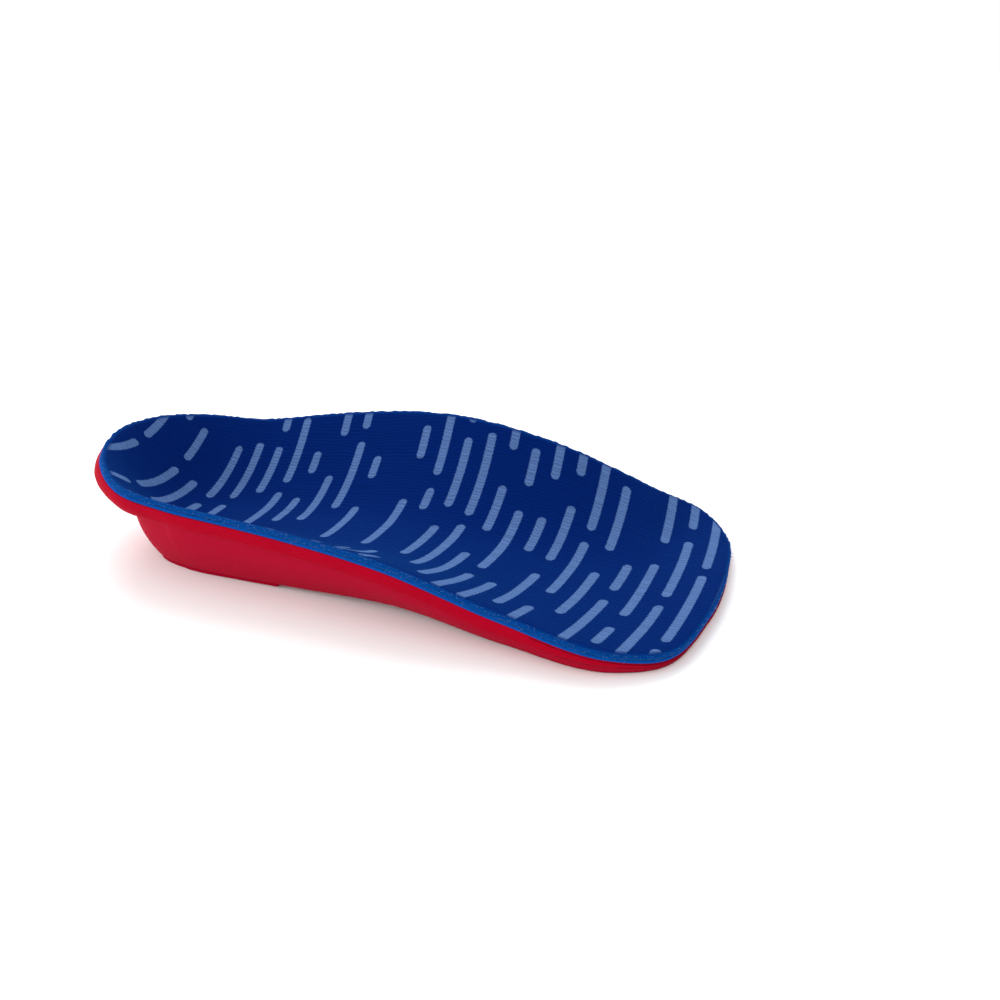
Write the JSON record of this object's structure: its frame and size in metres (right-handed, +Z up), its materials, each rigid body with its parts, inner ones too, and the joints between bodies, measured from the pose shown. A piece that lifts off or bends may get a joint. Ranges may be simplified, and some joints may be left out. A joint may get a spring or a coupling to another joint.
{
  "type": "cushioned insole",
  "caption": "Three-quarter length right insole: printed knit cover on cushion foam, bonded to a moulded foam shell with a deep heel cup, an arch flange and a heel pad.",
  "frame": {"origin": "on the surface that the insole stands on, under the middle of its length and width", "axes": "+X from the heel to the toes, +Y to the medial side where the arch is, +Z up"},
  "size_m": [0.1742, 0.0778, 0.0309],
  "materials": {
    "printed_knit": "brushed knit, navy with periwinkle dashes",
    "blue_foam": "matte closed-cell foam, bright blue",
    "red_eva": "moulded foam with a thin satin skin, red",
    "red_eva_pad": "moulded foam, red, slightly duller"
  },
  "bodies": {
    "root": {"top_cover": "printed_knit", "cushion_foam": "blue_foam", "base_shell": "red_eva", "heel_post": "red_eva_pad"}
  },
  "joints": []
}
